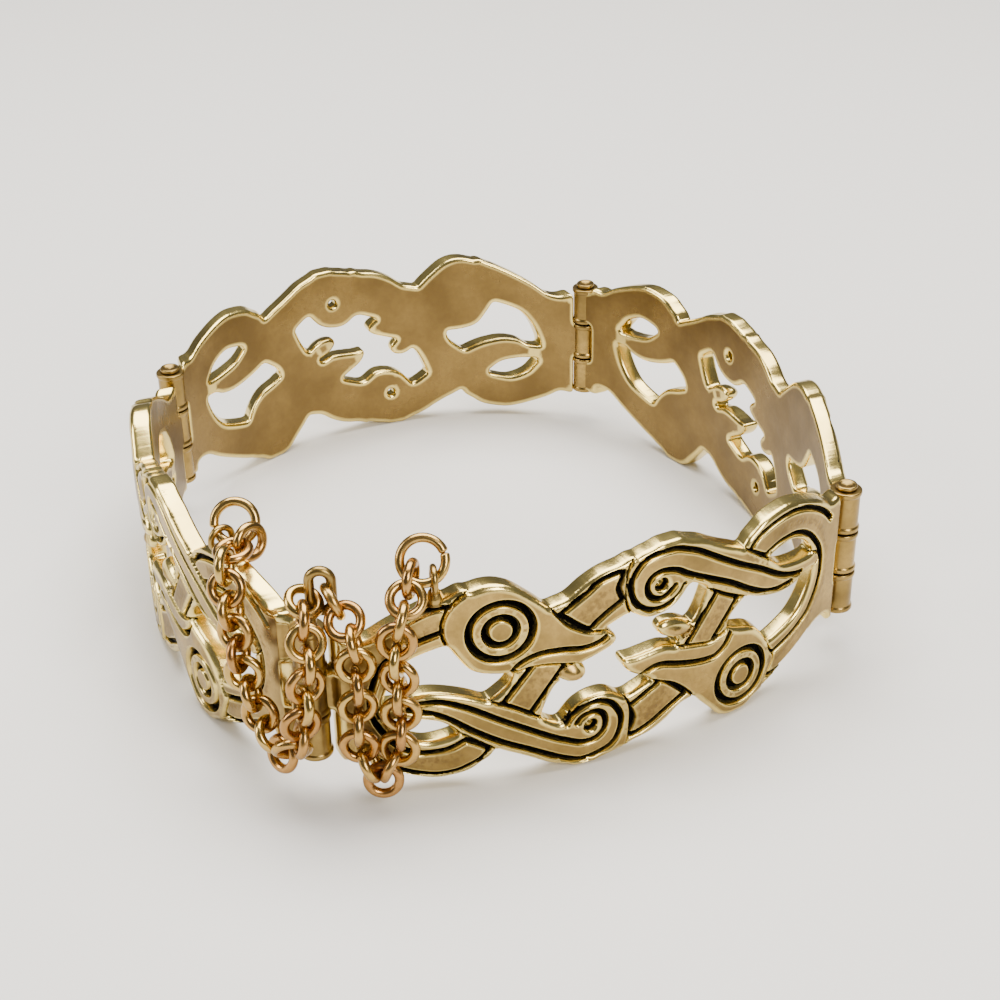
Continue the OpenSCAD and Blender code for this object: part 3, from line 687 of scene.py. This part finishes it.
def hinge_axes():
    """The four upright axes, in millimetres: the clasp's from its pin, the others from the joints."""
    spots = {j["name"]: np.array(j["pos_m"][:2]) / MM for j in frame["joints"]}
    low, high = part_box("clasp_pin")
    clasp = np.array([low.x / MM + PIN_R, (low.y + high.y) / 2 / MM])
    return clasp, spots["right_hinge"], spots["back_hinge"], spots["left_hinge"]


CLASP, RIGHT, BACK, LEFT = hinge_axes()
ENDS = {"front_right": (CLASP, RIGHT), "back_right": (RIGHT, BACK), "back_left": (BACK, LEFT),
    "front_left": (LEFT, CLASP)}


def bend_frame(name):
    """Centre of the bend, and the direction from its first hinge to its second."""
    p, q = ENDS[name]
    along = (q - p) / np.linalg.norm(q - p)
    inward = np.array([-along[1], along[0]])
    half_chord = np.linalg.norm(q - p) / 2
    return (p + q) / 2 + inward * math.sqrt(BENDS[name] ** 2 - half_chord ** 2), along, inward


def bent(name, flat, height, slopes=None):
    """Points of the flat pattern bent to the plaque's curve, at a height over the middle of the wall."""
    r = BENDS[name]
    centre, along, inward = bend_frame(name)
    x = r * np.sin(flat[:, 0] / r)
    y = -np.sqrt((r + height) ** 2 - x * x)
    xy = centre + np.outer(x, along) + np.outer(y, inward)
    points = np.column_stack([xy, flat[:, 1] + HALF_H])
    if slopes is None:
        return points
    normal_x = x / (r + height) - slopes[0] / np.cos(flat[:, 0] / r)
    normal_y = y / (r + height)
    return points, np.column_stack([np.outer(normal_x, along) + np.outer(normal_y, inward), -slopes[1]])


def knuckle(low, high, bore):
    """Profile of a knuckle: a barrel with a bead at each end, bored through."""
    r, b = BARREL_R, BARREL_R + BEAD_RISE
    bead = ((b - 0.1, 0), (b - 0.03, 0.05), (b, 0.12), (b, 0.3), (b - 0.03, 0.4), (r + 0.02, 0.48), (r, 0.56))
    up = [(q, low + z) for q, z in bead]
    down = [(q, high - z) for q, z in bead][::-1]
    return [(bore, low), (bore + 0.02, low), *up, *down, (bore + 0.02, high), (bore, high)]


def add_casting(shape, name, pattern):
    """The pierced plate of a plaque: face, rim and back."""
    height, slopes, edge, rim = pattern.face(pattern.flat)
    front, front_normals = bent(name, pattern.flat, height, slopes)
    height, slopes, depth = pattern.back_face(pattern.back_flat)
    back, back_normals = bent(name, pattern.back_flat, height, slopes)
    n = len(front)
    a, b = pattern.rim_front.T
    c, d = n + pattern.rim_back.T
    wall = np.vstack([np.stack([a, d, b], 1), np.stack([a, c, d], 1)])
    panel = pattern.sample(pattern.panel, pattern.flat)
    shape.add(np.vstack([front, back]), np.vstack([pattern.front, wall, pattern.back + n]),
        np.vstack([front_normals, -back_normals]), np.concatenate([edge, np.ones(len(back))]),
        np.concatenate([rim, depth]), np.concatenate([panel, -np.ones(len(back))]))


def add_knuckles(shape, name):
    """The middle knuckle at the plaque's first hinge, the outer two at its second."""
    p, q = ENDS[name]
    third = BARREL_H / 3
    gap = KNUCKLE_GAP / 2
    bore = CLASP_BORE_R if name == "front_left" else BORE_R
    low = BARREL_LOW
    shape.add(*lathe(knuckle(low + third + gap, low + 2 * third - gap, BORE_R), p))
    shape.add(*lathe(knuckle(low, low + third - gap, bore), q))
    shape.add(*lathe(knuckle(low + 2 * third + gap, low + BARREL_H, bore), q))


def add_eyelet(shape, name, s):
    """The small ring on the top edge, with a foot that flows into the casting."""
    r = BENDS[name]
    _, along, inward = bend_frame(name)
    u = s * EYELET_AT * HALF
    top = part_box("plaque_" + name)[1].z / MM
    z = top - EYELET_R - EYELET_WIRE
    centre = bent(name, np.array([[u, z - HALF_H]]), np.zeros(1))[0]
    turn = u / r
    axis = np.append(along * math.cos(turn) + inward * math.sin(turn), 0)
    shape.add(*tube(circle_path(centre, axis, EYELET_R, 36), EYELET_WIRE, True))
    low = z - EYELET_R
    foot = [(0.001, low - 1), (0.75, low - 1), (0.6, low - 0.5), (0.45, low - 0.1), (0.3, low + 0.12),
        (0.001, low + 0.2)]
    shape.add(*lathe(foot, centre, 24))


def rings_of(node):
    """Centre, axis and points of each loose ring in a CAD node, in millimetres."""
    mesh = frame["nodes"][node].data
    co = np.array([v.co for v in mesh.vertices]) / MM
    edges = np.array([e.vertices[:] for e in mesh.edges])
    _, weld = np.unique(np.round(co, 4), axis=0, return_inverse=True)
    weld = weld.ravel()
    group = np.arange(weld.max() + 1)
    pairs = weld[edges]
    while True:
        low = np.minimum(group[pairs[:, 0]], group[pairs[:, 1]])
        new = group.copy()
        np.minimum.at(new, pairs[:, 0], low)
        np.minimum.at(new, pairs[:, 1], low)
        new = new[new]
        if (new == group).all():
            break
        group = new
    found = []
    for k in np.unique(group):
        p = co[group[weld] == k]
        p = np.unique(np.round(p, 4), axis=0)
        mid = p.mean(0)
        _, _, axes = np.linalg.svd(p - mid, full_matrices=False)
        x, y, axis = axes
        flat = np.stack([(p - mid) @ x, (p - mid) @ y], 1)
        fit = np.linalg.lstsq(np.column_stack([2 * flat, np.ones(len(p))]), (flat ** 2).sum(1), rcond=None)[0]
        centre = mid + fit[0] * x + fit[1] * y
        found.append((centre, axis, p))
    return found


def noise_node(tree, scale, detail, rough, coords):
    node = tree.nodes.new("ShaderNodeTexNoise")
    node.inputs["Scale"].default_value = scale
    node.inputs["Detail"].default_value = detail
    node.inputs["Roughness"].default_value = rough
    tree.links.new(coords, node.inputs["Vector"])
    return node.outputs["Fac"]


def remap(tree, value, a, b, c, d):
    node = tree.nodes.new("ShaderNodeMapRange")
    for name, x in zip(("From Min", "From Max", "To Min", "To Max"), (a, b, c, d)):
        node.inputs[name].default_value = x
    tree.links.new(value, node.inputs["Value"])
    return node.outputs["Result"]


def math_node(tree, kind, a, b):
    node = tree.nodes.new("ShaderNodeMath")
    node.operation = kind
    for k, x in enumerate((a, b)):
        if isinstance(x, (int, float)):
            node.inputs[k].default_value = x
        else:
            tree.links.new(x, node.inputs[k])
    return node.outputs[0]


def mix_colour(tree, factor, a, b):
    node = tree.nodes.new("ShaderNodeMix")
    node.data_type = "RGBA"
    tree.links.new(factor, node.inputs[0])
    for k, x in ((6, a), (7, b)):
        if isinstance(x, tuple):
            node.inputs[k].default_value = (*x, 1)
        else:
            tree.links.new(x, node.inputs[k])
    return node.outputs[2]


def mark(tree, name):
    node = tree.nodes.new("ShaderNodeAttribute")
    node.attribute_name = name
    return node.outputs["Fac"]


def metal(name, light, deep, polish_and_highlight, rough, cast=True):
    """Old metal: dark film on the flats, black grooves, pitted grounds, and bright lips and outer rim, partly
    polish from wear and partly painted highlight.

    On drawn wire the panel mark is the tone of a link instead, from yellow to copper red.
    """
    material = bpy.data.materials.new(name)
    material.use_nodes = True
    tree = material.node_tree
    shader = tree.nodes["Principled BSDF"]
    shader.inputs["Metallic"].default_value = 1.0
    coords = tree.nodes.new("ShaderNodeTexCoord").outputs["Object"]
    cloud = noise_node(tree, CLOUDS, 4, 0.55, coords)
    speck = noise_node(tree, SPECKS, 3, 0.6, coords)
    edge, rim, panel = (mark(tree, k) for k in ("edge", "rim", "panel"))
    pitted = remap(tree, panel, 0, 1, 0, 1 if cast else 0)
    ragged = math_node(tree, "ADD", edge, remap(tree, speck, 0.3, 0.7, -0.015, 0.015))
    # Lips along the grooves and the outer rim get a brighter colour: partly polish from wear, partly painted
    # highlight on the rounded edges.
    lip = remap(tree, ragged, 0.28, 0.1, 0, 1)
    lip = math_node(tree, "MULTIPLY", lip, remap(tree, pitted, 0, 1, 1, 0.4))
    outer = remap(tree, rim, 0.55, 0.3, 0, 1)
    wear_and_highlight = math_node(tree, "MAXIMUM", lip, outer)
    wear_and_highlight = math_node(tree, "MULTIPLY", wear_and_highlight, remap(tree, cloud, 0.32, 0.55, 0.55, 1))
    mottle = remap(tree, cloud, 0.38, 0.64, 0, 1)
    if not cast:
        mottle = math_node(tree, "ADD", math_node(tree, "MULTIPLY", mottle, 0.45),
            math_node(tree, "MULTIPLY", panel, 0.6))
    tone = mix_colour(tree, mottle, light, deep)
    film = remap(tree, speck, 0.4, 0.62, 0, 0.6)
    film = math_node(tree, "MULTIPLY", film, remap(tree, pitted, 0, 1, 0.35, 1))
    tone = mix_colour(tree, film, tone, FILM)
    if cast:
        tone = mix_colour(tree, remap(tree, panel, -0.2, -0.9, 0, 0.6), tone, INSIDE)
    # Painted highlight and wear polish: the lips and rim are mixed towards the bright colour.
    tone = mix_colour(tree, wear_and_highlight, tone, polish_and_highlight)
    black = remap(tree, ragged, 0.055, 0.0, 0, 1)
    tone = mix_colour(tree, black, tone, BLACK)
    tree.links.new(tone, shader.inputs["Base Color"])
    gloss = remap(tree, cloud, 0.3, 0.7, rough - 0.03, rough + 0.09)
    gloss = math_node(tree, "ADD", gloss, remap(tree, pitted, 0, 1, 0, 0.16))
    gloss = math_node(tree, "SUBTRACT", gloss, math_node(tree, "MULTIPLY", wear_and_highlight, 0.1))
    gloss = math_node(tree, "ADD", gloss, math_node(tree, "MULTIPLY", black, 0.4))
    tree.links.new(gloss, shader.inputs["Roughness"])
    pits = tree.nodes.new("ShaderNodeTexVoronoi")
    pits.inputs["Scale"].default_value = PITS
    tree.links.new(coords, pits.inputs["Vector"])
    hollow = math_node(tree, "MULTIPLY", remap(tree, pits.outputs["Distance"], 0, 0.4, -1, 0), pitted)
    grain = math_node(tree, "MULTIPLY", speck, remap(tree, pitted, 0, 1, 0.18, 1))
    relief = math_node(tree, "ADD", hollow, grain)
    waves = math_node(tree, "MULTIPLY", noise_node(tree, WAVES, 2, 0.5, coords), 0.9)
    relief = math_node(tree, "ADD", relief, waves)
    bump = tree.nodes.new("ShaderNodeBump")
    bump.inputs["Strength"].default_value = 0.4
    bump.inputs["Distance"].default_value = 0.00008
    tree.links.new(relief, bump.inputs["Height"])
    tree.links.new(bump.outputs["Normal"], shader.inputs["Normal"])
    return material


# The fourth colour is the bright colour of lips and rims, partly polish from wear and partly painted highlight.
BRONZE = metal("bronze", (0.39, 0.26, 0.078), (0.2, 0.133, 0.04), (0.84, 0.66, 0.22), 0.27)
COPPERY = metal("coppery", (0.56, 0.38, 0.11), (0.38, 0.18, 0.055), (0.86, 0.66, 0.28), 0.22,
    cast=False)


def make_camera():
    """The photo's view: a normal lens from the front, 30 degrees over the table."""
    tilt = math.radians(29.99)
    roll = math.radians(-1.07)
    back = Vector((0, -math.cos(tilt), math.sin(tilt)))
    right = Vector((1, 0, 0))
    up = Vector((0, math.sin(tilt), math.cos(tilt)))
    right, up = (math.cos(roll) * right + math.sin(roll) * up, -math.sin(roll) * right + math.cos(roll) * up)
    camera = bpy.data.objects.new("camera", bpy.data.cameras.new("camera"))
    camera.data.sensor_width = 36
    camera.data.lens = 64.8
    camera.data.clip_start = 0.005
    bpy.context.scene.collection.objects.link(camera)
    place = Matrix((right, up, back)).transposed().to_4x4()
    place.translation = Vector((1.19, -133.725, 85.1)) * MM
    camera.matrix_world = place
    bpy.context.scene.camera = camera


def make_floor():
    """A plain pale floor, just under the ring."""
    mesh = bpy.data.meshes.new("floor")
    s, z = 3.0, -0.00002
    mesh.from_pydata([(-s, -s, z), (s, -s, z), (s, s, z), (-s, s, z)], [], [(0, 1, 2, 3)])
    material = bpy.data.materials.new("floor")
    material.use_nodes = True
    shader = material.node_tree.nodes["Principled BSDF"]
    shader.inputs["Base Color"].default_value = (0.72, 0.71, 0.69, 1)
    shader.inputs["Roughness"].default_value = 0.6
    mesh.materials.append(material)
    floor = bpy.data.objects.new("floor", mesh)
    bpy.context.scene.collection.objects.link(floor)


def area_light(name, place, aim, size, power, colour):
    """A soft light at a place, turned to its aim; size is its width and height in metres."""
    light = bpy.data.lights.new(name, "AREA")
    light.shape = "RECTANGLE"
    light.size, light.size_y = size
    light.energy = power
    light.color = colour
    lamp = bpy.data.objects.new(name, light)
    bpy.context.scene.collection.objects.link(lamp)
    lamp.location = place
    lamp.rotation_mode = "QUATERNION"
    lamp.rotation_quaternion = (Vector(aim) - Vector(place)).to_track_quat("-Z", "Y")


def make_lights():
    """Dim light from all round, a wide light above and two smaller ones in front and at the left."""
    world = bpy.data.worlds.new("studio")
    world.use_nodes = True
    world.node_tree.nodes["Background"].inputs["Color"].default_value = (0.9, 0.93, 1, 1)
    world.node_tree.nodes["Background"].inputs["Strength"].default_value = 0.16
    bpy.context.scene.world = world
    area_light("overhead", (0.02, 0.1, 0.42), (0, 0, 0), (0.5, 0.36), 6.2, (1, 0.96, 0.9))
    area_light("front", (0.2, -0.34, 0.26), (0, 0, 0.01), (0.16, 0.22), 2.0, (1, 0.94, 0.86))
    area_light("left", (-0.38, -0.05, 0.2), (0, 0, 0.01), (0.12, 0.25), 1.1, (1, 0.97, 0.93))


def make_plaques():
    """The four castings of one pattern; the front two have an eyelet."""
    pattern = Pattern(STEP)
    eyelets = {"front_right": -1, "front_left": 1}
    for name in BENDS:
        shape = Shape()
        add_casting(shape, name, pattern)
        add_knuckles(shape, name)
        if name in eyelets:
            add_eyelet(shape, name, eyelets[name])
        shape.build("casting_" + name, BRONZE, name, "bronze", "plaque_" + name)


def make_pins():
    """The fixed hinge pins, with a dished head on the top knuckle."""
    top = BARREL_LOW + BARREL_H + 0.05
    profile = [(0.001, BARREL_LOW), (PIN_R, BARREL_LOW), (PIN_R, top), (0.8, top), (0.86, top + 0.06),
        (0.86, top + 0.26), (0.8, top + 0.34), (0.66, top + 0.35), (0.56, top + 0.3), (0.46, top + 0.2),
        (0.001, top + 0.17)]
    for name, spot, body in (("right", RIGHT, "front_right"), ("back", BACK, "back_right"),
            ("left", LEFT, "back_left")):
        shape = Shape()
        shape.add(*lathe(profile, spot))
        shape.build("pin_" + name, BRONZE, body, "bronze", "hinge_pin_" + name)


def loop_path():
    """Line of the wire of the clasp pin's loop, and where the loop starts."""
    low, high = (np.array(c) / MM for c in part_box("clasp_pin"))
    barrel_top = BARREL_LOW + BARREL_H
    x0 = CLASP[0] + LOOP_SIDE
    x1 = high[0] - LOOP_WIRE
    r = (x1 - x0) / 2
    y = CLASP[1]
    z1 = high[2] - LOOP_WIRE - r
    z0 = barrel_top + LOOP_LIFT + LOOP_WIRE + r
    t = np.linspace(0, math.pi, 16)
    upper = np.stack([(x0 + x1) / 2 + r * np.cos(t), np.full(16, y), z1 + r * np.sin(t)], 1)
    lower = np.stack([(x0 + x1) / 2 - r * np.cos(t), np.full(16, y), z0 - r * np.sin(t)], 1)
    sides = np.linspace(0, 1, 14)[1:-1, None]
    down = upper[-1] + sides * (lower[0] - upper[-1])
    rise = lower[-1] + sides * (upper[0] - lower[-1])
    return np.vstack([upper, down, lower, rise]), (x0, y, z0)


def make_clasp_pin():
    """The loose pin, whose wire goes up, over and back to itself as a long loop."""
    path, (x0, y, z0) = loop_path()
    barrel_top = BARREL_LOW + BARREL_H
    shape = Shape()
    shape.add(*tube(path, LOOP_WIRE, True, 18))
    pin = [(0.001, BARREL_LOW), (PIN_R, BARREL_LOW), (PIN_R, barrel_top + 0.3), (0.42, barrel_top + 0.42),
        (0.3, barrel_top + 0.5), (0.001, barrel_top + 0.52)]
    shape.add(*lathe(pin, CLASP))
    leg = [(x0, y, barrel_top + 0.2), (x0, y, barrel_top + 0.6), (x0, y, barrel_top + 1.1), (x0, y, z0)]
    shape.add(*tube(leg, LOOP_WIRE, False, 18))
    shape.build("clasp_pin_loop", BRONZE, "front_right", "bronze", "clasp_pin")


def in_order(rings, start):
    """The rings one after the other, each the nearest left to the one before."""
    left = list(rings)
    spot, out = start, []
    while left:
        k = min(range(len(left)), key=lambda n: np.linalg.norm(left[n][0] - spot))
        out.append(left.pop(k))
        spot = out[-1][0]
    return out


def make_chains():
    """Open rings and links of round wire, each where the frame has it; every link has its own tone."""
    for side, body in (("left", "front_left"), ("right", "front_right")):
        (centre, axis, points), = rings_of("jump_ring_" + side)
        middle = points.mean(0) - centre
        opening = math.radians(JUMP_OPENING)
        path = circle_path(centre, axis, JUMP_R[side] - JUMP_WIRE, 40, opening - math.pi,
            2 * (math.pi - opening), middle)
        shape = Shape()
        shape.add(*tube(path, JUMP_WIRE, False, 16), panel=0.2)
        shape.build("open_ring_" + side, COPPERY, body, "chain_bronze", "jump_ring_" + side)
        rings = in_order(rings_of("chain_" + side), centre)
        stops = np.array([r[0] for r in rings])
        shape = Shape()
        for k, ((centre, axis, _), along) in enumerate(zip(rings, np.gradient(stops, axis=0))):
            tone = 0.5 + 0.5 * math.sin(k * 2.4 + (side == "right"))
            along = along / np.linalg.norm(along)
            sway = math.radians(LINK_SWAY) * math.sin(5.1 * k + 1)
            axis = axis - along * (axis @ along)
            axis = axis * math.cos(sway) + np.cross(along, axis) * math.sin(sway)
            path = circle_path(centre, axis, LINK_R * (1 + 0.02 * math.sin(3.7 * k)), 32, first=along)
            shape.add(*tube(path, CHAIN_WIRE, True, 14), panel=tone)
        shape.build("links_" + side, COPPERY, body, "chain_bronze", "chain_" + side)


make_camera()
make_floor()
make_lights()
make_plaques()
make_pins()
make_clasp_pin()
make_chains()

bpy.context.view_layer.update()
